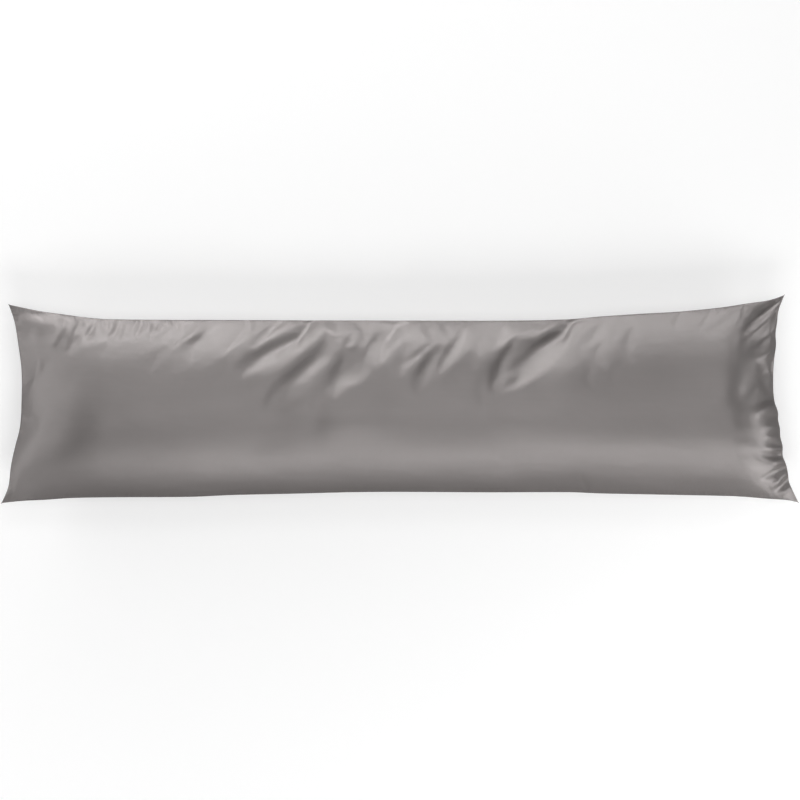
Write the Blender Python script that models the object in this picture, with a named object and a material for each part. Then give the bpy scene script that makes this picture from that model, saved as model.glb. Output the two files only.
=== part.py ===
"""A long satin body pillow lying on its back: one filled solid, closed by a plain knife-edge seam.

Metres, +Z up. X runs along the pillow and Y across it. The origin is the middle of the underside's box.
The front and back panels are two grids that meet all round at the seam.
"""

from collections import namedtuple
from math import cos, exp, hypot, pi, radians, sin, sqrt

import bmesh
import bpy

# How high things are over the surface that the pillow lies on.
CROWN_HEIGHT = 0.165
SEAM_HEIGHT = 0.082
END_SEAM_DROP = 0.012
EAR_DROP = 0.010
BACK_DEPTH = 0.107
SETTLE = 0.012

# How the filling rounds off towards the seams.
SIDE_STEEPNESS = radians(58)
LEFT_REACH = 0.170
RIGHT_REACH = 0.100
END_ROUNDNESS = 2.2
CROWN_SHIFT = 0.12
HALF_LENGTH = 0.690

# Squares of each panel, and how much closer they stand at the two ends than in the middle.
SQUARES_ALONG = 104
SQUARES_ACROSS = 28
END_CROWDING = 0.42
WELD = 0.00001

COVER_COLOUR = (0.205, 0.188, 0.183, 1.0)
COVER_ROUGHNESS = 0.42

# The seam's four sides as seen from above, each from one ear to the next: the long ones as (x, y) from
# left to right, the short ones as (x, y) from front to back.
FAR_SIDE = (
    (-0.691, 0.168), (-0.667, 0.163), (-0.632, 0.156), (-0.597, 0.151), (-0.562, 0.146), (-0.520, 0.142),
    (-0.440, 0.1405), (-0.300, 0.140), (-0.060, 0.139), (0.200, 0.139), (0.290, 0.141), (0.351, 0.146),
    (0.422, 0.151), (0.492, 0.155), (0.562, 0.162), (0.615, 0.170), (0.652, 0.176), (0.679, 0.185),
)
NEAR_SIDE = (
    (-0.704, -0.185), (-0.667, -0.181), (-0.632, -0.179), (-0.580, -0.1755), (-0.509, -0.174),
    (-0.369, -0.173), (-0.298, -0.170), (-0.211, -0.168), (-0.053, -0.1645), (0.150, -0.165),
    (0.300, -0.165), (0.351, -0.167), (0.492, -0.170), (0.580, -0.172), (0.615, -0.174), (0.650, -0.177),
    (0.685, -0.180), (0.704, -0.184),
)
LEFT_END = (
    (-0.704, -0.185), (-0.691, -0.155), (-0.686, -0.118), (-0.679, -0.086), (-0.671, -0.055),
    (-0.668, -0.030), (-0.667, 0.000), (-0.6665, 0.030), (-0.668, 0.060), (-0.672, 0.090),
    (-0.680, 0.136), (-0.691, 0.168),
)
RIGHT_END = (
    (0.704, -0.184), (0.692, -0.160), (0.686, -0.146), (0.684, -0.132), (0.680, -0.114), (0.674, -0.099),
    (0.675, -0.084), (0.670, -0.067), (0.670, -0.051), (0.666, -0.037), (0.667, -0.023), (0.661, -0.009),
    (0.658, 0.016), (0.658, 0.048), (0.660, 0.074), (0.663, 0.095), (0.662, 0.113), (0.665, 0.136),
    (0.668, 0.157), (0.679, 0.185),
)

# The seam's slow rise and fall along the pillow.
Wave = namedtuple("Wave", "length shift height")
SEAM_WAVES = (
    Wave(0.61, 0.10, 0.0022),
    Wave(0.37, 0.25, 0.0014),
)

# Where the filling stands a little higher or lower under the front panel.
Lump = namedtuple("Lump", "x y reach_x reach_y height")
LUMPS = (
    Lump(-0.540, 0.030, 0.090, 0.060, -0.0030),
    Lump(-0.480, 0.070, 0.050, 0.040, 0.0030),
    Lump(-0.400, 0.030, 0.060, 0.060, -0.0030),
    Lump(-0.140, -0.020, 0.110, 0.060, 0.0035),
    Lump(0.020, 0.030, 0.080, 0.050, -0.0030),
    Lump(0.180, -0.100, 0.040, 0.050, -0.0030),
    Lump(0.310, -0.040, 0.120, 0.070, 0.0035),
    Lump(0.625, 0.060, 0.040, 0.060, -0.0080),
    Lump(-0.080, 0.030, 0.062, 0.050, -0.0185),
    Lump(0.205, 0.030, 0.060, 0.046, -0.0110),
    Lump(-0.235, -0.008, 0.035, 0.035, -0.0050),
    Lump(-0.030, 0.105, 0.050, 0.050, -0.0110),
)

# The front panel's valleys. Each path point is a place and the valley's depth there, below zero for a
# ridge, and the reaches are its half-widths on its far side and on its near side.
Fold = namedtuple("Fold", "path far near")
FOLDS = (
    Fold(((-0.160, 0.139, 0.007), (-0.168, 0.116, 0.012), (-0.185, 0.097, 0.018),
          (-0.226, 0.077, 0.018), (-0.273, 0.056, 0.010), (-0.307, 0.038, 0.002)), 0.020, 0.032),
    Fold(((-0.136, 0.137, -0.002), (-0.137, 0.111, -0.003), (-0.160, 0.077, -0.004),
          (-0.196, 0.049, -0.004), (-0.226, 0.030, -0.002)), 0.016, 0.014),
    Fold(((-0.120, 0.113, 0.003), (-0.139, 0.071, 0.017), (-0.177, 0.035, 0.016),
          (-0.217, -0.003, 0.008), (-0.240, -0.022, 0.002)), 0.023, 0.026),
    Fold(((-0.097, 0.099, -0.001), (-0.122, 0.057, -0.002), (-0.158, 0.019, -0.001)), 0.014, 0.012),
    Fold(((-0.092, 0.085, 0.003), (-0.103, 0.043, 0.009), (-0.132, 0.007, 0.003)), 0.014, 0.024),
    Fold(((0.009, 0.064, -0.001), (-0.022, 0.026, -0.006), (-0.057, -0.002, -0.012),
          (-0.104, -0.022, -0.009), (-0.148, -0.030, -0.001)), 0.034, 0.042),
    Fold(((-0.061, 0.120, 0.003), (-0.063, 0.099, 0.006), (-0.080, 0.066, 0.002)), 0.009, 0.013),
    Fold(((0.090, 0.106, -0.002), (0.053, 0.081, -0.008), (0.021, 0.056, -0.006),
          (0.005, 0.037, -0.001)), 0.018, 0.012),
    Fold(((0.073, 0.094, 0.003), (0.051, 0.060, 0.007), (0.019, 0.014, 0.001)), 0.011, 0.014),
    Fold(((0.136, 0.099, -0.001), (0.100, 0.067, -0.003), (0.070, 0.033, -0.003),
          (0.045, 0.009, -0.001)), 0.013, 0.020),
    Fold(((0.153, 0.085, -0.001), (0.146, 0.054, -0.002), (0.129, 0.023, -0.001)), 0.013, 0.012),
    Fold(((0.318, 0.148, 0.007), (0.288, 0.111, 0.021), (0.252, 0.087, 0.025),
          (0.217, 0.060, 0.019), (0.192, 0.040, 0.009), (0.168, 0.018, 0.002)), 0.019, 0.044),
    Fold(((0.232, 0.099, 0.005), (0.188, 0.073, 0.013), (0.171, 0.046, 0.009),
          (0.157, 0.010, 0.001)), 0.018, 0.014),
    Fold(((0.355, 0.116, -0.001), (0.320, 0.071, -0.004), (0.265, 0.018, -0.009),
          (0.195, -0.016, -0.007), (0.150, -0.030, -0.001)), 0.036, 0.046),
    Fold(((0.356, 0.137, 0.002), (0.335, 0.101, 0.003), (0.318, 0.080, 0.001)), 0.010, 0.014),
    Fold(((0.403, 0.123, -0.001), (0.372, 0.090, -0.002), (0.345, 0.068, -0.0003)), 0.014, 0.022),
    Fold(((0.592, 0.112, -0.004), (0.583, 0.070, -0.006), (0.583, 0.028, -0.005),
          (0.590, -0.005, -0.001)), 0.055, 0.028),
    Fold(((0.676, 0.181, 0.003), (0.655, 0.163, 0.008), (0.628, 0.141, 0.009),
          (0.598, 0.114, 0.002)), 0.012, 0.010),
    Fold(((0.666, 0.142, 0.004), (0.652, 0.118, 0.008), (0.634, 0.102, 0.009),
          (0.596, 0.078, 0.002)), 0.013, 0.010),
)
FOLD_ROUNDNESS = 1.8
SEAM_FADE = 0.003


def smooth_between(points, at, along, across):
    """The across value at a place along a row of points, on a smooth curve through them."""
    last = len(points) - 2
    index = 0
    while index < last and at > points[index + 1][along]:
        index += 1
    slopes = []
    for end in (index, index + 1):
        before = points[max(end - 1, 0)]
        after = points[min(end + 1, len(points) - 1)]
        slopes.append((after[across] - before[across]) / (after[along] - before[along]))
    start, stop = points[index], points[index + 1]
    span = stop[along] - start[along]
    t = min(max((at - start[along]) / span, 0.0), 1.0)
    return (
        start[across] * (1 + 2 * t) * (1 - t) ** 2
        + stop[across] * t * t * (3 - 2 * t)
        + slopes[0] * span * t * (1 - t) ** 2
        - slopes[1] * span * t * t * (1 - t)
    )


def side_point(points, share, along):
    """The point at a share from 0 to 1 along one side of the seam, where along is 0 for x and 1 for y."""
    at = points[0][along] + share * (points[-1][along] - points[0][along])
    other = smooth_between(points, at, along, 1 - along)
    return (at, other) if along == 0 else (other, at)


def plan_point(u, v):
    """The place from above of a panel's point, with u and v from -1 to 1, spread between the four sides."""
    s, t = (u + 1) / 2, (v + 1) / 2
    near, far = side_point(NEAR_SIDE, s, 0), side_point(FAR_SIDE, s, 0)
    left, right = side_point(LEFT_END, t, 1), side_point(RIGHT_END, t, 1)
    return tuple(
        (1 - t) * near[k] + t * far[k] + (1 - s) * left[k] + s * right[k]
        - (1 - s) * (1 - t) * NEAR_SIDE[0][k] - s * (1 - t) * NEAR_SIDE[-1][k]
        - (1 - s) * t * FAR_SIDE[0][k] - s * t * FAR_SIDE[-1][k]
        for k in (0, 1)
    )


def arc_height(t, steepness):
    """The height, from 0 to 1, of an arc at t from -1 to 1 that leaves its ends at this angle."""
    radius = 1 / sin(steepness)
    rim = radius * cos(steepness)
    return (sqrt(max(radius * radius - t * t, 0.0)) - rim) / (radius - rim)


def fullness(u, v):
    """The filling's share of its full height: plumpest a little to the near side, closed at the ends."""
    inwards = min((1 - abs(u)) * HALF_LENGTH / (LEFT_REACH if u < 0 else RIGHT_REACH), 1.0)
    across = v + CROWN_SHIFT * (1 - v * v)
    return (1 - (1 - inwards) ** END_ROUNDNESS) * arc_height(across, SIDE_STEEPNESS)


def seam_level(x, u, v):
    """The seam's height over the surface, lower at the two ends and lowest at the four ears."""
    level = SEAM_HEIGHT - END_SEAM_DROP * abs(u) ** 8 - EAR_DROP * abs(u) ** 10 * v**4
    for wave in SEAM_WAVES:
        level += wave.height * (1 - u * u) * sin(2 * pi * (x - wave.shift) / wave.length)
    return level


def bell(distance, reach, roundness=2.0):
    return exp(-((abs(distance) / reach) ** roundness))


def fold_depth(fold, x, y):
    """How far one fold lowers the front panel at a place."""
    nearest = None
    for (ax, ay, a_depth), (bx, by, b_depth) in zip(fold.path, fold.path[1:]):
        dx, dy = bx - ax, by - ay
        share = ((x - ax) * dx + (y - ay) * dy) / (dx * dx + dy * dy)
        share = min(max(share, 0.0), 1.0)
        aside = hypot(x - ax - dx * share, y - ay - dy * share)
        if nearest is None or aside < nearest[0]:
            on_near_side = dx * (y - ay) - dy * (x - ax) > 0
            nearest = (aside, on_near_side, a_depth + (b_depth - a_depth) * share)
    aside, on_near_side, depth = nearest
    return depth * bell(aside, fold.near if on_near_side else fold.far, FOLD_ROUNDNESS)


def front_height(x, y, u, v):
    level = seam_level(x, u, v)
    full = fullness(u, v)
    height = level + (CROWN_HEIGHT - SEAM_HEIGHT) * full
    relief = -sum(fold_depth(fold, x, y) for fold in FOLDS)
    for lump in LUMPS:
        relief += lump.height * bell(x - lump.x, lump.reach_x) * bell(y - lump.y, lump.reach_y)
    room = height - level
    return height + relief * room / (room + SEAM_FADE)


def back_height(x, y, u, v):
    """The underside, flat at 0 where the pillow's weight presses it on the surface."""
    free = seam_level(x, u, v) - BACK_DEPTH * fullness(u, v)
    if free <= -SETTLE:
        return 0.0
    if free < SETTLE:
        return (free + SETTLE) ** 2 / (4 * SETTLE)
    return free


def add_panel(bm, height_at):
    """One panel: a grid whose rows follow the arc across the pillow, and stand closer at its two ends."""
    grid = bmesh.ops.create_grid(bm, x_segments=SQUARES_ALONG, y_segments=SQUARES_ACROSS, size=1.0)
    for vert in grid["verts"]:
        u = (1 - END_CROWDING) * vert.co.x + END_CROWDING * sin(vert.co.x * pi / 2)
        v = sin(vert.co.y * SIDE_STEEPNESS) / sin(SIDE_STEEPNESS)
        u, v = min(max(u, -1.0), 1.0), min(max(v, -1.0), 1.0)
        x, y = plan_point(u, v)
        vert.co = (x, y, height_at(x, y, u, v))
    return grid["verts"]


def split_ears(bm):
    """Cuts each corner square from the ear's tip inwards, so that the two panels part there."""
    for tip in [vert for vert in bm.verts if len(vert.link_faces) == 1]:
        square = tip.link_faces[0]
        beside = {edge.other_vert(tip) for edge in tip.link_edges}
        inner = next(vert for vert in square.verts if vert != tip and vert not in beside)
        bmesh.utils.face_split(square, tip, inner)


def satin():
    """Warm grey satin: a smooth, closely woven cloth with a soft shine."""
    material = bpy.data.materials.new("cover_satin")
    material.use_nodes = True
    shader = material.node_tree.nodes["Principled BSDF"]
    shader.inputs["Base Color"].default_value = COVER_COLOUR
    shader.inputs["Roughness"].default_value = COVER_ROUGHNESS
    shader.inputs["Metallic"].default_value = 0.0
    return material


def pillow():
    """The stuffed cover: front and back panels sewn together all round, and what fills them."""
    bm = bmesh.new()
    add_panel(bm, front_height)
    back = add_panel(bm, back_height)
    back_faces = {face for vert in back for face in vert.link_faces}
    bmesh.ops.reverse_faces(bm, faces=list(back_faces))
    split_ears(bm)
    bmesh.ops.remove_doubles(bm, verts=bm.verts, dist=WELD)
    mesh = bpy.data.meshes.new("pillow")
    bm.to_mesh(mesh)
    bm.free()
    mesh.materials.append(satin())
    mesh.shade_smooth()
    return bpy.data.objects.new("pillow", mesh)


for leftover in list(bpy.data.objects):
    bpy.data.objects.remove(leftover, do_unlink=True)
body_pillow = bpy.data.collections.new("body_pillow")
bpy.context.scene.collection.children.link(body_pillow)
body_pillow.objects.link(pillow())
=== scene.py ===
"""Satin body pillow: a long stuffed cover lying on its back, seen from straight above."""

from collections import namedtuple
from math import cos, pi, radians, sin

import bmesh
import bpy
import numpy as np
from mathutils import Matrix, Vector


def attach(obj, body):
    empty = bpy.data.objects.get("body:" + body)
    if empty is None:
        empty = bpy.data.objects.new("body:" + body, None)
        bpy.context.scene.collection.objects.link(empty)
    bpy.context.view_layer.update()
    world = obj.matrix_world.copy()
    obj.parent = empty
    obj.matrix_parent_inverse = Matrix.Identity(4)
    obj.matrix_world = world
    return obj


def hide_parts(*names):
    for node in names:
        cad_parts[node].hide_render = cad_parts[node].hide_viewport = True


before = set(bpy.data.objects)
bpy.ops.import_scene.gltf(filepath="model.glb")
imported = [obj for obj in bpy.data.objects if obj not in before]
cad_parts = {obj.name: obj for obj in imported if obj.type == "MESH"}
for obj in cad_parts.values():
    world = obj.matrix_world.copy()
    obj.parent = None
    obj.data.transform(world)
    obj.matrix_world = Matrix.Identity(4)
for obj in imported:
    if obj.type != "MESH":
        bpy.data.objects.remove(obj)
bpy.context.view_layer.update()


# ---- The cover's outline ---------------------------------------------------------------------------
# Two oblong satin panels, sewn face to face on all four sides and turned right side out. The filling
# draws the long sides in at the waist and leaves the four corners standing out as thin pointed ears.

FAR_SEAM = (
    (-0.691, 0.168), (-0.667, 0.163), (-0.632, 0.156), (-0.597, 0.151), (-0.562, 0.146), (-0.520, 0.142),
    (-0.440, 0.1405), (-0.300, 0.140), (-0.060, 0.139), (0.200, 0.139), (0.290, 0.141), (0.351, 0.146),
    (0.422, 0.151), (0.492, 0.155), (0.562, 0.162), (0.615, 0.170), (0.652, 0.176), (0.679, 0.185),
)
NEAR_SEAM = (
    (-0.704, -0.185), (-0.667, -0.181), (-0.632, -0.179), (-0.580, -0.1755), (-0.509, -0.174),
    (-0.369, -0.173), (-0.298, -0.170), (-0.211, -0.168), (-0.053, -0.1645), (0.150, -0.165),
    (0.300, -0.165), (0.351, -0.167), (0.492, -0.170), (0.580, -0.172), (0.615, -0.174), (0.650, -0.177),
    (0.685, -0.180), (0.704, -0.184),
)
LEFT_SEAM = (
    (-0.704, -0.185), (-0.691, -0.155), (-0.686, -0.118), (-0.679, -0.086), (-0.671, -0.055),
    (-0.668, -0.030), (-0.667, 0.000), (-0.6665, 0.030), (-0.668, 0.060), (-0.672, 0.090),
    (-0.680, 0.136), (-0.691, 0.168),
)
RIGHT_SEAM = (
    (0.704, -0.184), (0.692, -0.160), (0.686, -0.146), (0.684, -0.132), (0.680, -0.114), (0.674, -0.099),
    (0.675, -0.084), (0.670, -0.067), (0.670, -0.051), (0.666, -0.037), (0.667, -0.023), (0.661, -0.009),
    (0.658, 0.016), (0.658, 0.048), (0.660, 0.074), (0.663, 0.095), (0.662, 0.113), (0.665, 0.136),
    (0.668, 0.157), (0.679, 0.185),
)


def drawn_through(points, at, along):
    """The other coordinate of a smooth seam at each place along it."""
    rows = np.array(points)
    places, values = rows[:, along], rows[:, 1 - along]
    slopes = np.gradient(values, places)
    slopes[1:-1] = (values[2:] - values[:-2]) / (places[2:] - places[:-2])
    step = np.clip(np.searchsorted(places, at, side="right") - 1, 0, len(places) - 2)
    span = places[step + 1] - places[step]
    t = np.clip((at - places[step]) / span, 0, 1)
    return (
        values[step] * (1 + 2 * t) * (1 - t) ** 2
        + values[step + 1] * t * t * (3 - 2 * t)
        + slopes[step] * span * t * (1 - t) ** 2
        - slopes[step + 1] * span * t * t * (1 - t)
    )


def along_seam(points, share, along):
    """Points at a share from 0 to 1 along one seam, where along is 0 for x and 1 for y."""
    at = points[0][along] + share * (points[-1][along] - points[0][along])
    other = drawn_through(points, at, along)
    return np.stack([at, other] if along == 0 else [other, at], axis=1)


def laid_out(u, v):
    """Where each point of a panel lies from above, spread evenly between the four seams."""
    s, t = ((u + 1) / 2)[:, None], ((v + 1) / 2)[:, None]
    near, far = along_seam(NEAR_SEAM, s[:, 0], 0), along_seam(FAR_SEAM, s[:, 0], 0)
    left, right = along_seam(LEFT_SEAM, t[:, 0], 1), along_seam(RIGHT_SEAM, t[:, 0], 1)
    return (
        (1 - t) * near + t * far + (1 - s) * left + s * right
        - (1 - s) * (1 - t) * NEAR_SEAM[0] - s * (1 - t) * NEAR_SEAM[-1]
        - (1 - s) * t * FAR_SEAM[0] - s * t * FAR_SEAM[-1]
    )


# ---- The filling -----------------------------------------------------------------------------------
# Loose polyester fibre, blown in until the cover is firm but not tight. It rounds the front panel up
# from the seam, presses the back panel level on the surface, and thins away into the ears.

CROWN_HEIGHT = 0.165
SEAM_HEIGHT = 0.082
END_SEAM_DROP = 0.012
EAR_DROP = 0.010
BACK_DEPTH = 0.107
SETTLE = 0.012
SIDE_STEEPNESS = radians(58)
LEFT_REACH = 0.170
RIGHT_REACH = 0.100
END_ROUNDNESS = 2.2
HALF_LENGTH = 0.690
CROWN_SHIFT = 0.12
SEAM_WAVES = ((0.61, 0.10, 0.0022), (0.37, 0.25, 0.0014))

Lump = namedtuple("Lump", "x y reach_x reach_y height")
LUMPS = (
    Lump(-0.540, 0.030, 0.090, 0.060, -0.0030),
    Lump(-0.480, 0.070, 0.050, 0.040, 0.0030),
    Lump(-0.400, 0.030, 0.060, 0.060, -0.0030),
    Lump(-0.140, -0.020, 0.110, 0.060, 0.0035),
    Lump(0.020, 0.030, 0.080, 0.050, -0.0030),
    Lump(0.180, -0.100, 0.040, 0.050, -0.0030),
    Lump(0.310, -0.040, 0.120, 0.070, 0.0035),
    Lump(0.625, 0.060, 0.040, 0.060, -0.0080),
    Lump(-0.080, 0.030, 0.062, 0.050, -0.0185),
    Lump(0.205, 0.030, 0.060, 0.046, -0.0110),
    Lump(-0.235, -0.008, 0.035, 0.035, -0.0050),
    Lump(-0.030, 0.105, 0.050, 0.050, -0.0110),
)


def bell(distance, reach, roundness=2.0):
    return np.exp(-((np.abs(distance) / reach) ** roundness))


def arc_height(t, steepness):
    """The height, from 0 to 1, of an arc at t from -1 to 1 that leaves its ends at this angle."""
    radius = 1 / sin(steepness)
    rim = radius * cos(steepness)
    return (np.sqrt(np.maximum(radius * radius - t * t, 0)) - rim) / (radius - rim)


def fullness(u, v):
    """The filling's share of its full height: plumpest a little to the near side, closed at the ends."""
    reach = np.where(u < 0, LEFT_REACH, RIGHT_REACH)
    inwards = np.minimum((1 - np.abs(u)) * HALF_LENGTH / reach, 1)
    across = v + CROWN_SHIFT * (1 - v * v)
    return (1 - (1 - inwards) ** END_ROUNDNESS) * arc_height(across, SIDE_STEEPNESS)


def seam_level(x, u, v):
    level = SEAM_HEIGHT - END_SEAM_DROP * np.abs(u) ** 8 - EAR_DROP * np.abs(u) ** 10 * v**4
    for length, shift, height in SEAM_WAVES:
        level = level + height * (1 - u * u) * np.sin(2 * pi * (x - shift) / length)
    return level


def back_height(x, u, v):
    free = seam_level(x, u, v) - BACK_DEPTH * fullness(u, v)
    settled = (free + SETTLE) ** 2 / (4 * SETTLE)
    return np.where(free < -SETTLE, 0.0, np.where(free < SETTLE, settled, free))


# ---- The drag folds --------------------------------------------------------------------------------
# Satin does not stretch, so where the filling is thin it slides into soft slanting valleys that run
# from the far seam towards the middle. Each path point is a place and the valley's depth there, below
# zero for a ridge; the reaches are its half-widths on the far side and on the near side.

Fold = namedtuple("Fold", "path far near")
FOLDS = (
    Fold(((-0.160, 0.139, 0.007), (-0.168, 0.116, 0.012), (-0.185, 0.097, 0.018),
          (-0.226, 0.077, 0.018), (-0.273, 0.056, 0.010), (-0.307, 0.038, 0.002)), 0.020, 0.032),
    Fold(((-0.136, 0.137, -0.002), (-0.137, 0.111, -0.003), (-0.160, 0.077, -0.004),
          (-0.196, 0.049, -0.004), (-0.226, 0.030, -0.002)), 0.016, 0.014),
    Fold(((-0.120, 0.113, 0.003), (-0.139, 0.071, 0.017), (-0.177, 0.035, 0.016),
          (-0.217, -0.003, 0.008), (-0.240, -0.022, 0.002)), 0.023, 0.026),
    Fold(((-0.097, 0.099, -0.001), (-0.122, 0.057, -0.002), (-0.158, 0.019, -0.001)), 0.014, 0.012),
    Fold(((-0.092, 0.085, 0.003), (-0.103, 0.043, 0.009), (-0.132, 0.007, 0.003)), 0.014, 0.024),
    Fold(((0.009, 0.064, -0.001), (-0.022, 0.026, -0.006), (-0.057, -0.002, -0.012),
          (-0.104, -0.022, -0.009), (-0.148, -0.030, -0.001)), 0.034, 0.042),
    Fold(((-0.061, 0.120, 0.003), (-0.063, 0.099, 0.006), (-0.080, 0.066, 0.002)), 0.009, 0.013),
    Fold(((0.090, 0.106, -0.002), (0.053, 0.081, -0.008), (0.021, 0.056, -0.006),
          (0.005, 0.037, -0.001)), 0.018, 0.012),
    Fold(((0.073, 0.094, 0.003), (0.051, 0.060, 0.007), (0.019, 0.014, 0.001)), 0.011, 0.014),
    Fold(((0.099, 0.096, 0.002), (0.080, 0.066, 0.005), (0.063, 0.037, 0.001)), 0.009, 0.010),
    Fold(((0.136, 0.099, -0.001), (0.100, 0.067, -0.003), (0.070, 0.033, -0.003),
          (0.045, 0.009, -0.001)), 0.013, 0.020),
    Fold(((0.153, 0.085, -0.001), (0.146, 0.054, -0.002), (0.129, 0.023, -0.001)), 0.013, 0.012),
    Fold(((0.318, 0.148, 0.007), (0.288, 0.111, 0.021), (0.252, 0.087, 0.025),
          (0.217, 0.060, 0.019), (0.192, 0.040, 0.009), (0.168, 0.018, 0.002)), 0.019, 0.044),
    Fold(((0.232, 0.099, 0.005), (0.188, 0.073, 0.013), (0.171, 0.046, 0.009),
          (0.157, 0.010, 0.001)), 0.018, 0.014),
    Fold(((0.355, 0.116, -0.001), (0.320, 0.071, -0.004), (0.265, 0.018, -0.009),
          (0.195, -0.016, -0.007), (0.150, -0.030, -0.001)), 0.036, 0.046),
    Fold(((0.356, 0.137, 0.002), (0.335, 0.101, 0.003), (0.318, 0.080, 0.001)), 0.010, 0.014),
    Fold(((0.403, 0.123, -0.001), (0.372, 0.090, -0.002), (0.345, 0.068, -0.0003)), 0.014, 0.022),
    Fold(((0.412, 0.127, 0.001), (0.396, 0.103, 0.002), (0.379, 0.086, 0.0003)), 0.008, 0.012),
    Fold(((-0.203, 0.141, 0.004), (-0.230, 0.116, 0.006), (-0.254, 0.100, 0.002)), 0.009, 0.011),
    Fold(((-0.345, 0.124, -0.001), (-0.362, 0.111, -0.005), (-0.384, 0.096, -0.0005)), 0.008, 0.007),
    Fold(((-0.334, 0.116, 0.001), (-0.351, 0.101, 0.003), (-0.368, 0.089, 0.0005)), 0.006, 0.008),
    Fold(((0.592, 0.112, -0.004), (0.583, 0.070, -0.006), (0.583, 0.028, -0.005),
          (0.590, -0.005, -0.001)), 0.055, 0.028),
)
FOLD_ROUNDNESS = 1.8
SEAM_FADE = 0.003


def smooth_path(path, steps=8):
    """More points along a path, on a smooth curve through its own."""
    points = np.array(path)
    ends = np.vstack([2 * points[0] - points[1], points, 2 * points[-1] - points[-2]])
    rows = []
    for k in range(len(points) - 1):
        a, b, c, d = ends[k : k + 4]
        for t in np.arange(steps) / steps:
            rows.append(0.5 * (2 * b + (c - a) * t + (2 * a - 5 * b + 4 * c - d) * t**2
                               + (3 * b - a - 3 * c + d) * t**3))
    return np.array(rows + [points[-1]])


def fold_depth(fold, x, y):
    """How far one fold lowers the cloth at each place."""
    nearest = np.full(len(x), 1e9)
    near_side = np.zeros(len(x), bool)
    depth = np.zeros(len(x))
    points = smooth_path(fold.path)
    for a, b in zip(points, points[1:]):
        dx, dy = b[:2] - a[:2]
        share = np.clip(((x - a[0]) * dx + (y - a[1]) * dy) / (dx * dx + dy * dy), 0, 1)
        aside = np.hypot(x - a[0] - dx * share, y - a[1] - dy * share)
        closer = aside < nearest
        nearest = np.where(closer, aside, nearest)
        near_side = np.where(closer, dx * (y - a[1]) - dy * (x - a[0]) > 0, near_side)
        depth = np.where(closer, a[2] + (b[2] - a[2]) * share, depth)
    return depth * bell(nearest, np.where(near_side, fold.near, fold.far), FOLD_ROUNDNESS)


def front_height(x, y, u, v):
    level = seam_level(x, u, v)
    height = level + (CROWN_HEIGHT - SEAM_HEIGHT) * fullness(u, v)
    relief = np.zeros(len(x))
    for lump in LUMPS:
        relief += lump.height * bell(x - lump.x, lump.reach_x) * bell(y - lump.y, lump.reach_y)
    for fold in FOLDS:
        relief -= fold_depth(fold, x, y)
    room = height - level
    return height + relief * room / (room + SEAM_FADE)


# ---- The two panels --------------------------------------------------------------------------------
# Front and back are cut alike from one length of satin and sewn together all round, with the seam
# allowance inside. At each ear the two meet in a point.

SQUARES_ALONG = 244
SQUARES_ACROSS = 50
END_CROWDING = 0.42
WELD = 0.00001
PANEL_LENGTH = 1.45
PANEL_WIDTH = 0.40
BACK_SHIFT = 0.5


def add_panel(bm, front):
    """One panel as an even grid of cloth, with rows closer together towards the turn at its seams."""
    grid = bmesh.ops.create_grid(bm, x_segments=SQUARES_ALONG, y_segments=SQUARES_ACROSS, size=1.0)
    verts = grid["verts"]
    flat = np.array([vert.co[:2] for vert in verts])
    u = (1 - END_CROWDING) * flat[:, 0] + END_CROWDING * np.sin(flat[:, 0] * pi / 2)
    v = np.sin(flat[:, 1] * SIDE_STEEPNESS) / sin(SIDE_STEEPNESS)
    u, v = np.clip(u, -1, 1), np.clip(v, -1, 1)
    x, y = laid_out(u, v).T
    z = front_height(x, y, u, v) if front else back_height(x, u, v)
    for vert, place in zip(verts, np.stack([x, y, z], axis=1)):
        vert.co = place
    uv = bm.loops.layers.uv.verify()
    for vert, (s, t) in zip(verts, flat):
        for loop in vert.link_loops:
            loop[uv].uv = (s * PANEL_LENGTH / 2, t * PANEL_WIDTH / 2 + (0 if front else BACK_SHIFT))
    return verts


def split_ears(bm, sharpness):
    """Cuts each corner square from the ear's tip inwards, so that the panels part there at a sharp point."""
    for tip in [vert for vert in bm.verts if len(vert.link_faces) == 1]:
        tip[sharpness] = 1
        square = tip.link_faces[0]
        beside = {edge.other_vert(tip) for edge in tip.link_edges}
        inner = next(vert for vert in square.verts if vert != tip and vert not in beside)
        bmesh.utils.face_split(square, tip, inner)


bm = bmesh.new()
sharpness = bm.verts.layers.float.new("crease_vert")
add_panel(bm, True)
back_verts = add_panel(bm, False)
bmesh.ops.reverse_faces(bm, faces=list({face for vert in back_verts for face in vert.link_faces}))
split_ears(bm, sharpness)
bmesh.ops.remove_doubles(bm, verts=bm.verts, dist=WELD)
mesh = bpy.data.meshes.new("stuffed_cover")
bm.to_mesh(mesh)
bm.free()
mesh.shade_smooth()
cover = bpy.data.objects.new("stuffed_cover", mesh)
bpy.context.scene.collection.objects.link(cover)


# ---- How the cloth settles -------------------------------------------------------------------------
# The filling pushes the cover out while the seam and the flat of the back stay where they are. The
# cloth is longer than the filling needs along the far side and at the ends, and that slack is what
# drapes into the folds. Each share of slack is a place, its reach and how much of the most there is.

MOST_SLACK = 0.018
Slack = namedtuple("Slack", "x y reach_x reach_y share")
SLACK = (
    Slack(-0.49, 0.14, 0.14, 0.025, 0.9),
    Slack(-0.20, 0.10, 0.12, 0.065, 0.6),
    Slack(0.06, 0.11, 0.08, 0.060, 0.5),
    Slack(0.25, 0.11, 0.09, 0.070, 0.6),
    Slack(0.68, 0.16, 0.04, 0.060, 0.8),
    Slack(0.69, -0.10, 0.03, 0.080, 0.8),
    Slack(-0.68, 0.00, 0.04, 0.200, 0.2),
)
PRESSURE = 1.0
FARTHEST_MOVE = 0.012
FRAMES = 20
TOUCHING = 0.000001


def coordinates(mesh):
    flat = np.empty(len(mesh.vertices) * 3)
    mesh.vertices.foreach_get("co", flat)
    return flat.reshape(-1, 3)


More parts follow.
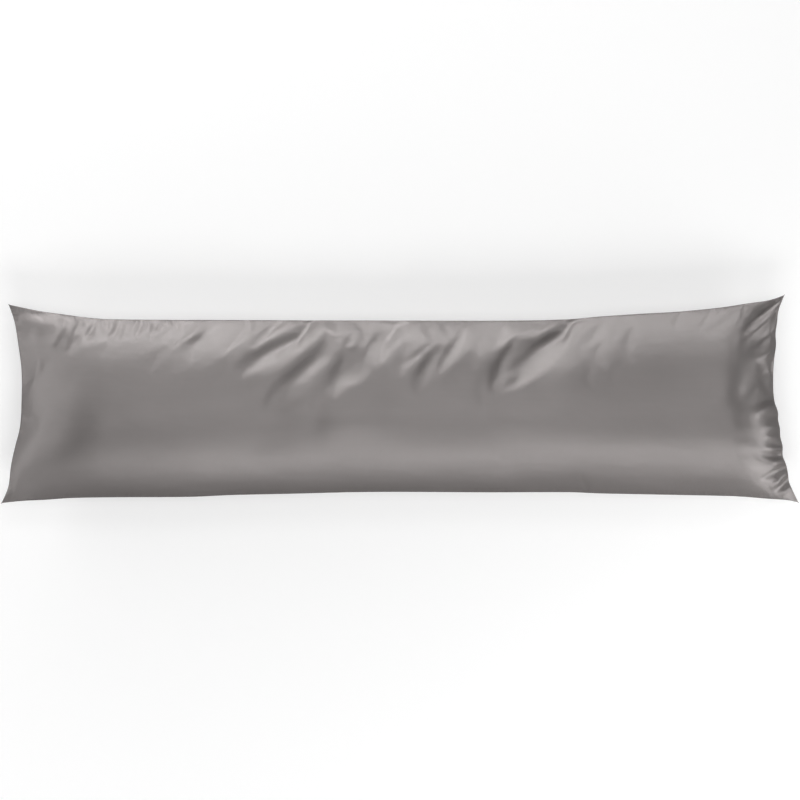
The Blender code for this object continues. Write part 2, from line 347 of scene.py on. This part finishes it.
def panel_sides(mesh):
    """Which verts lie on the front panel and which on the seam."""
    bm = bmesh.new()
    bm.from_mesh(mesh)
    uv = bm.loops.layers.uv.verify()
    front, seam = np.zeros(len(bm.verts), bool), np.zeros(len(bm.verts), bool)
    for vert in bm.verts:
        backs = {loop[uv].uv.y > BACK_SHIFT / 2 for loop in vert.link_loops}
        front[vert.index] = backs == {False}
        seam[vert.index] = len(backs) == 2
    bm.free()
    return front, seam


def settle(cover):
    mesh = cover.data
    before = coordinates(mesh)
    front, seam = panel_sides(mesh)
    x, y, z = before.T
    held = cover.vertex_groups.new(name="held")
    held.add(np.nonzero(seam | (z < TOUCHING))[0].tolist(), 1.0, "REPLACE")
    slack = np.zeros(len(x))
    for place in SLACK:
        share = bell(x - place.x, place.reach_x) * bell(y - place.y, place.reach_y)
        slack = np.maximum(slack, place.share * share)
    taut = cover.vertex_groups.new(name="taut")
    for index, share in enumerate(slack.tolist()):
        taut.add([index], 1 - share, "REPLACE")

    cloth = cover.modifiers.new("cloth", "CLOTH")
    satin_cloth = cloth.settings
    satin_cloth.quality = 6
    satin_cloth.mass = 0.3
    satin_cloth.tension_stiffness = satin_cloth.compression_stiffness = 15
    satin_cloth.shear_stiffness = 5
    satin_cloth.bending_stiffness = 0.2
    satin_cloth.tension_damping = satin_cloth.compression_damping = satin_cloth.shear_damping = 5
    satin_cloth.bending_damping = 0.5
    satin_cloth.use_pressure = True
    satin_cloth.uniform_pressure_force = PRESSURE
    satin_cloth.vertex_group_mass = held.name
    satin_cloth.pin_stiffness = 1
    satin_cloth.vertex_group_shrink = taut.name
    satin_cloth.shrink_max = 0
    satin_cloth.shrink_min = -MOST_SLACK
    satin_cloth.effector_weights.gravity = 0
    cloth.collision_settings.use_collision = False
    cloth.collision_settings.use_self_collision = False
    cloth.point_cache.frame_start, cloth.point_cache.frame_end = 1, FRAMES
    for frame_number in range(1, FRAMES + 1):
        bpy.context.scene.frame_set(frame_number)

    draped = cover.evaluated_get(bpy.context.evaluated_depsgraph_get())
    move = coordinates(draped.data) - before
    length = np.linalg.norm(move, axis=1, keepdims=True)
    after = before + move * np.minimum(1, FARTHEST_MOVE / np.maximum(length, 1e-9))
    after[:, 2] = np.maximum(after[:, 2], 0)
    cover.modifiers.remove(cloth)
    mesh.vertices.foreach_set("co", after.ravel())
    bpy.context.scene.frame_set(1)


settle(cover)

smoothing = cover.modifiers.new("smoothing", "SUBSURF")
smoothing.levels = smoothing.render_levels = 1
smooth_cover = cover.evaluated_get(bpy.context.evaluated_depsgraph_get())
mesh = bpy.data.meshes.new_from_object(smooth_cover)
cover.modifiers.remove(smoothing)
cover.data = mesh
mesh.name = "stuffed_cover"


# ---- Puckers along the seam ------------------------------------------------------------------------
# The stitches hold the cloth short, so beside them it stands in small sharp puckers: close together by
# the far left, at the right end, and long ones that pull into the far right ear.

PUCKERS = (
    Fold(((-0.536, 0.136, 0.003), (-0.542, 0.118, 0.006), (-0.551, 0.103, 0.002)), 0.005, 0.007),
    Fold(((-0.558, 0.141, 0.002), (-0.567, 0.120, 0.005), (-0.577, 0.085, 0.002)), 0.006, 0.007),
    Fold(((-0.589, 0.144, -0.001), (-0.591, 0.123, -0.003), (-0.605, 0.099, -0.002)), 0.007, 0.006),
    Fold(((-0.549, 0.120, 0.001), (-0.562, 0.106, 0.004), (-0.572, 0.089, 0.001)), 0.005, 0.007),
    Fold(((-0.502, 0.137, 0.002), (-0.508, 0.120, 0.004), (-0.513, 0.104, 0.001)), 0.005, 0.008),
    Fold(((-0.485, 0.136, 0.002), (-0.490, 0.118, 0.004), (-0.497, 0.103, 0.001)), 0.005, 0.007),
    Fold(((-0.452, 0.139, 0.003), (-0.457, 0.125, 0.003), (-0.462, 0.111, 0.001)), 0.005, 0.006),
    Fold(((-0.426, 0.139, 0.003), (-0.431, 0.125, 0.003), (-0.436, 0.110, 0.001)), 0.005, 0.008),
    Fold(((-0.026, 0.126, 0.002), (-0.045, 0.097, 0.006), (-0.064, 0.064, 0.002)), 0.010, 0.015),
    Fold(((0.000, 0.128, 0.001), (-0.014, 0.108, 0.003), (-0.030, 0.088, 0.001)), 0.008, 0.010),
    Fold(((-0.156, 0.137, 0.004), (-0.164, 0.118, 0.005), (-0.180, 0.098, 0.001)), 0.008, 0.014),
    Fold(((0.072, 0.112, 0.001), (0.036, 0.080, 0.005), (0.006, 0.056, 0.002)), 0.008, 0.012),
    Fold(((0.494, 0.151, 0.002), (0.483, 0.134, 0.002)), 0.007, 0.008),
    Fold(((0.549, 0.156, 0.002), (0.537, 0.139, 0.003), (0.523, 0.120, 0.001)), 0.007, 0.009),
    Fold(((0.605, 0.162, 0.002), (0.582, 0.146, 0.003), (0.539, 0.116, 0.001)), 0.007, 0.009),
    Fold(((0.676, 0.181, 0.003), (0.655, 0.163, 0.008), (0.628, 0.141, 0.009),
          (0.598, 0.114, 0.002)), 0.009, 0.008),
    Fold(((0.674, 0.167, -0.004), (0.651, 0.146, -0.007), (0.609, 0.108, -0.002)), 0.008, 0.008),
    Fold(((0.666, 0.142, 0.004), (0.652, 0.118, 0.008), (0.634, 0.102, 0.009),
          (0.596, 0.078, 0.002)), 0.013, 0.010),
    Fold(((0.655, 0.087, -0.005), (0.642, 0.078, -0.007), (0.620, 0.068, -0.002)), 0.008, 0.008),
    Fold(((0.655, 0.060, 0.003), (0.642, 0.046, 0.006), (0.618, 0.026, 0.005),
          (0.592, 0.006, 0.001)), 0.012, 0.010),
    Fold(((0.657, 0.001, 0.005), (0.642, -0.003, 0.006), (0.622, -0.009, 0.001)), 0.006, 0.005),
    Fold(((0.659, -0.013, -0.007), (0.643, -0.017, -0.007), (0.620, -0.025, -0.001)), 0.007, 0.005),
    Fold(((0.662, -0.030, 0.005), (0.650, -0.031, 0.005), (0.634, -0.033, 0.001)), 0.005, 0.005),
    Fold(((0.661, -0.047, -0.006), (0.645, -0.050, -0.005), (0.632, -0.052, -0.001)), 0.006, 0.006),
    Fold(((0.666, -0.069, -0.008), (0.647, -0.068, -0.007), (0.629, -0.064, -0.001)), 0.007, 0.004),
    Fold(((0.668, -0.079, 0.006), (0.650, -0.077, 0.005), (0.635, -0.075, 0.001)), 0.004, 0.006),
    Fold(((0.670, -0.088, -0.005), (0.650, -0.089, -0.005), (0.632, -0.089, -0.001)), 0.005, 0.004),
    Fold(((0.664, -0.099, 0.006), (0.640, -0.097, 0.006), (0.622, -0.095, 0.001)), 0.005, 0.006),
    Fold(((0.676, -0.108, -0.008), (0.661, -0.112, -0.007), (0.643, -0.115, -0.001)), 0.006, 0.004),
    Fold(((0.678, -0.120, 0.006), (0.660, -0.127, 0.006), (0.636, -0.138, 0.002)), 0.005, 0.005),
    Fold(((0.682, -0.132, -0.008), (0.668, -0.141, -0.008), (0.654, -0.154, -0.002)), 0.006, 0.004),
    Fold(((0.685, -0.142, 0.006), (0.673, -0.152, 0.006), (0.658, -0.163, 0.001)), 0.005, 0.005),
    Fold(((0.690, -0.154, -0.005), (0.678, -0.162, -0.005), (0.664, -0.170, -0.001)), 0.005, 0.004),
    Fold(((-0.657, 0.038, 0.002), (-0.645, 0.035, 0.002), (-0.631, 0.031, 0.0005)), 0.005, 0.006),
    Fold(((-0.661, -0.031, 0.002), (-0.649, -0.033, 0.002), (-0.636, -0.037, 0.0005)), 0.005, 0.006),
    Fold(((0.327, -0.163, 0.004), (0.323, -0.151, 0.003), (0.316, -0.137, 0.001)), 0.008, 0.005),
)
PUCKER_FADE = 0.002
LEAST_DEPTH = 0.00001

places = coordinates(mesh)
front, seam = panel_sides(mesh)
seam_line = places[seam, :2]
depth = sum(fold_depth(pucker, places[:, 0], places[:, 1]) for pucker in PUCKERS)
for index in np.nonzero(front & (np.abs(depth) > LEAST_DEPTH))[0]:
    inwards = np.hypot(*(seam_line - places[index, :2]).T).min()
    places[index, 2] -= depth[index] * inwards / (inwards + PUCKER_FADE)
mesh.vertices.foreach_set("co", places.ravel())
mesh.shade_smooth()


# ---- The satin -------------------------------------------------------------------------------------
# Warm grey polyester satin, woven so that its long loose floats lie along the pillow: it shines in a
# narrow band along its length and a broad one across it. Uneven yarn shows as faint streaks, the
# stitches gather the cloth beside the seam, and handling has rubbed the seam's edge paler and duller.

SATIN_COLOUR = (0.119, 0.109, 0.106)
SATIN_ROUGHNESS = 0.43
SATIN_TINT = (1.0, 0.940, 0.930, 1.0)
SATIN_IOR = 1.7
FLOAT_LENGTH = 0.0025
THREAD_WIDTH = 0.00025
RUBBED_WIDTH = 0.006
SEAM_ROLL_WIDTH = 0.003
SEAM_ROLL_DEPTH = 0.0007
GATHER_LENGTH = 0.022
GATHER_DEPTH = 0.0022
ALLOWANCE_WIDTH = 0.010
ALLOWANCE_DEPTH = 0.0003
FIBRE_LUMP_DEPTH = 0.0010

satin = bpy.data.materials.new("cover_satin")
satin.use_nodes = True
nodes, links = satin.node_tree.nodes, satin.node_tree.links


def node(kind, *inputs, **settings):
    """Adds a node and fills its first inputs in turn, each with a value or from another's output."""
    added = nodes.new(kind)
    for name, value in settings.items():
        setattr(added, name, value)
    for socket, value in zip(added.inputs, inputs):
        if isinstance(value, bpy.types.NodeSocket):
            links.new(value, socket)
        elif value is not None:
            socket.default_value = value
    return added.outputs


def maths(operation, *values):
    return node("ShaderNodeMath", *values, operation=operation)[0]


def eased(value, start, end, first, last):
    """Goes smoothly from first to last while the value goes from start to end."""
    return node("ShaderNodeMapRange", value, start, end, first, last, interpolation_type="SMOOTHSTEP")[0]


def grain(place, length, width, detail):
    """Unevenness from -0.5 to 0.5 in blotches of about this size in metres."""
    scaled = node("ShaderNodeVectorMath", place, (1 / length, 1 / width, 1), operation="MULTIPLY")[0]
    return maths("SUBTRACT", node("ShaderNodeTexNoise", scaled, None, 1.0, detail)[0], 0.5)


cloth_place = node("ShaderNodeUVMap", uv_map=mesh.uv_layers[0].name)[0]
along, across = node("ShaderNodeSeparateXYZ", cloth_place)[:2]
across = maths("MODULO", maths("ADD", across, BACK_SHIFT / 2), BACK_SHIFT)
across = maths("SUBTRACT", across, BACK_SHIFT / 2)
from_side = maths("SUBTRACT", PANEL_WIDTH / 2, maths("ABSOLUTE", across))
from_end = maths("SUBTRACT", PANEL_LENGTH / 2, maths("ABSOLUTE", along))
from_seam = maths("MINIMUM", from_side, from_end)
at_end = maths("LESS_THAN", from_end, from_side)
along_stitches = maths("MULTIPLY_ADD", at_end, maths("SUBTRACT", across, along), along)
seam_place = node("ShaderNodeCombineXYZ", along_stitches, from_seam)[0]

streaks = grain(cloth_place, 0.15, 0.0016, 2)
blotches = grain(cloth_place, 0.11, 0.05, 3)
wear = maths("ADD", grain(cloth_place, 0.012, 0.012, 3), 0.6)
rubbed = maths("MULTIPLY", eased(from_seam, 0.001, RUBBED_WIDTH, 1, 0), wear)
shade = maths("MULTIPLY_ADD", streaks, 0.16, maths("MULTIPLY_ADD", blotches, 0.14, 1.0))
shade = maths("MULTIPLY_ADD", rubbed, 0.15, shade)
colour = node("ShaderNodeVectorMath", SATIN_COLOUR, None, None, shade, operation="SCALE")[0]
roughness = maths("MULTIPLY_ADD", streaks, 0.08, maths("MULTIPLY_ADD", rubbed, 0.15, SATIN_ROUGHNESS))

threads = node("ShaderNodeTexBrick", cloth_place, None, None, None, 1.0, THREAD_WIDTH / 5, 1.0, 0.0,
               FLOAT_LENGTH, THREAD_WIDTH, offset=0.4)[1]
seam_roll = eased(from_seam, 0, SEAM_ROLL_WIDTH, -SEAM_ROLL_DEPTH, 0)
gathers = maths("MULTIPLY", grain(seam_place, 0.010, 0.050, 1),
                eased(from_seam, 0.002, GATHER_LENGTH, GATHER_DEPTH, 0))
allowance = maths("MULTIPLY", eased(from_seam, ALLOWANCE_WIDTH, ALLOWANCE_WIDTH + 0.002, ALLOWANCE_DEPTH, 0),
                  eased(grain(cloth_place, 0.06, 0.06, 1), 0.0, 0.15, 0, 1))
fibre_lumps = maths("MULTIPLY", grain(cloth_place, 0.060, 0.040, 2), FIBRE_LUMP_DEPTH)
relief = maths("ADD", maths("ADD", seam_roll, gathers), maths("ADD", allowance, fibre_lumps))
relief = maths("MULTIPLY_ADD", threads, -THREAD_WIDTH / 8, relief)
bump = nodes.new("ShaderNodeBump")
bump.inputs["Distance"].default_value = 1.0
links.new(relief, bump.inputs["Height"])

shader = nodes["Principled BSDF"]
shader.inputs["IOR"].default_value = SATIN_IOR
shader.inputs["Specular IOR Level"].default_value = 1.0
shader.inputs["Specular Tint"].default_value = SATIN_TINT
shader.inputs["Anisotropic"].default_value = 0.5
shader.inputs["Anisotropic Rotation"].default_value = 0.25
links.new(colour, shader.inputs["Base Color"])
links.new(roughness, shader.inputs["Roughness"])
links.new(bump.outputs["Normal"], shader.inputs["Normal"])
links.new(node("ShaderNodeTangent", direction_type="UV_MAP", uv_map=mesh.uv_layers[0].name)[0],
          shader.inputs["Tangent"])
mesh.materials.append(satin)

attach(cover, "root")
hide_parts("pillow")


# ---- Floor and backdrop ----------------------------------------------------------------------------
# A wide sheet of pale paper that glows softly from below, as on a light table, so that the pillow
# throws hardly any shadow. Further out it grows paler by degrees, and it turns up into a tall screen.
# Neither shows in the shine of the satin, and the surround sheds no light and holds back none.

PAPER_TONE = (0.62, 0.62, 0.62, 1.0)
FLOOR_GLOW = 0.42
SURROUND_GLOW = 0.90
SHEET_RADIUS = 1.25
PALE_RADIUS = 3.2
SURROUND_LEVEL = 0.001
SCREEN_RADIUS = 14.0
SCREEN_HEIGHT = 9.0


def drawn_out(bm, edges):
    """The new rim of a sheet that is drawn out from these edges, as its verts and its edges."""
    new = bmesh.ops.extrude_edge_only(bm, edges=edges)["geom"]
    kinds = bmesh.types.BMVert, bmesh.types.BMEdge
    return [[part for part in new if isinstance(part, kind)] for kind in kinds]


def paper_piece(name, bm, glow):
    mesh = bpy.data.meshes.new(name)
    bm.to_mesh(mesh)
    bm.free()
    paper = bpy.data.materials.new(name)
    paper.use_nodes = True
    shader = paper.node_tree.nodes["Principled BSDF"]
    shader.inputs["Base Color"].default_value = PAPER_TONE
    shader.inputs["Roughness"].default_value = 0.9
    shader.inputs["Specular IOR Level"].default_value = 0.0
    shader.inputs["Emission Color"].default_value = (1.0, 1.0, 1.0, 1.0)
    shader.inputs["Emission Strength"].default_value = glow
    mesh.materials.append(paper)
    piece = bpy.data.objects.new(name, mesh)
    piece.visible_glossy = False
    bpy.context.scene.collection.objects.link(piece)
    return piece


bm = bmesh.new()
bmesh.ops.create_grid(bm, x_segments=1, y_segments=1, size=SCREEN_RADIUS)
paper_piece("floor", bm, FLOOR_GLOW)

bm = bmesh.new()
bmesh.ops.create_circle(bm, cap_ends=False, segments=96, radius=SHEET_RADIUS)
bmesh.ops.translate(bm, vec=(0, 0, SURROUND_LEVEL), verts=bm.verts)
outer_verts, outer_edges = drawn_out(bm, bm.edges)
bmesh.ops.scale(bm, vec=(SCREEN_RADIUS / SHEET_RADIUS, SCREEN_RADIUS / SHEET_RADIUS, 1), verts=outer_verts)
top_verts, top_edges = drawn_out(bm, outer_edges)
bmesh.ops.translate(bm, vec=(0, 0, SCREEN_HEIGHT), verts=top_verts)
surround = paper_piece("surround", bm, SURROUND_GLOW)
surround.visible_diffuse = surround.visible_shadow = False

paper_tree = surround.data.materials[0].node_tree
place = paper_tree.nodes.new("ShaderNodeTexCoord")
distance = paper_tree.nodes.new("ShaderNodeVectorMath")
distance.operation = "LENGTH"
paler = paper_tree.nodes.new("ShaderNodeMapRange")
paler.inputs["From Min"].default_value = SHEET_RADIUS
paler.inputs["From Max"].default_value = PALE_RADIUS
paler.inputs["To Min"].default_value = FLOOR_GLOW
paler.inputs["To Max"].default_value = SURROUND_GLOW
paper_tree.links.new(place.outputs["Object"], distance.inputs[0])
paper_tree.links.new(distance.outputs["Value"], paler.inputs["Value"])
paper_tree.links.new(paler.outputs["Result"],
                     paper_tree.nodes["Principled BSDF"].inputs["Emission Strength"])


# ---- Studio light ----------------------------------------------------------------------------------
# One long soft light stands low beyond the far side and rakes across the drag folds, and one stands
# over the near side and draws the long band of shine. The others fill in from above and at the ends.

AIM = Vector((0, 0, 0.10))


def soft_box(name, bearing, elevation, width, height, power, distance=3.0):
    """A large soft light that faces the pillow. Its bearing turns from the far side towards the right."""
    turn, lift = radians(bearing), radians(elevation)
    towards = Vector((sin(turn) * cos(lift), cos(turn) * cos(lift), sin(lift)))
    light = bpy.data.lights.new(name, "AREA")
    light.shape = "RECTANGLE"
    light.size, light.size_y = width, height
    light.energy = power
    lamp = bpy.data.objects.new(name, light)
    lamp.location = AIM + distance * towards
    lamp.rotation_euler = (-towards).to_track_quat("-Z", "Y").to_euler()
    lamp.visible_camera = False
    bpy.context.scene.collection.objects.link(lamp)


soft_box("far_low_light", 4, 6, 2.4, 0.5, 40)
soft_box("far_left_light", 335, 8, 1.8, 0.6, 30)
soft_box("far_right_light", 44, 12, 0.8, 0.6, 9)
soft_box("far_high_light", 0, 60, 2.4, 0.8, 12)
soft_box("overhead_light", 0, 90, 2.4, 1.2, 24)
soft_box("near_light", 173, 41, 1.8, 0.9, 34)
soft_box("near_low_light", 180, 17, 2.6, 0.6, 9.5)
soft_box("near_left_light", 228, 18, 1.6, 0.8, 9.5)
soft_box("left_low_light", 268, 4, 1.6, 0.4, 12)
soft_box("left_light", 300, 16, 2.0, 1.0, 21)
soft_box("right_light", 86, 7, 1.4, 0.8, 4)
soft_box("right_low_light", 102, -1, 0.6, 0.10, 1.1, distance=1.2)
soft_box("near_right_light", 122, 14, 0.6, 0.5, 5, distance=1.5)

world = bpy.data.worlds.new("studio")
world.use_nodes = True
world.node_tree.nodes["Background"].inputs["Color"].default_value = (1.0, 1.0, 1.0, 1.0)
world.node_tree.nodes["Background"].inputs["Strength"].default_value = 0.055
bpy.context.scene.world = world
bpy.context.scene.view_settings.view_transform = "Standard"


# ---- Camera ----------------------------------------------------------------------------------------
# It hangs over the middle of the pillow and looks straight down on the front panel.

FRAME_WIDTH = 1.405
FRAME_SHIFT = -0.0018
CAMERA_RISE = 6.0
SENSOR = 36.0
camera_data = bpy.data.cameras.new("camera")
camera_data.sensor_width = SENSOR
camera_data.lens = SENSOR * CAMERA_RISE / FRAME_WIDTH
camera = bpy.data.objects.new("camera", camera_data)
camera.location = (0, FRAME_SHIFT, SEAM_HEIGHT + CAMERA_RISE)
bpy.context.scene.collection.objects.link(camera)
bpy.context.scene.camera = camera
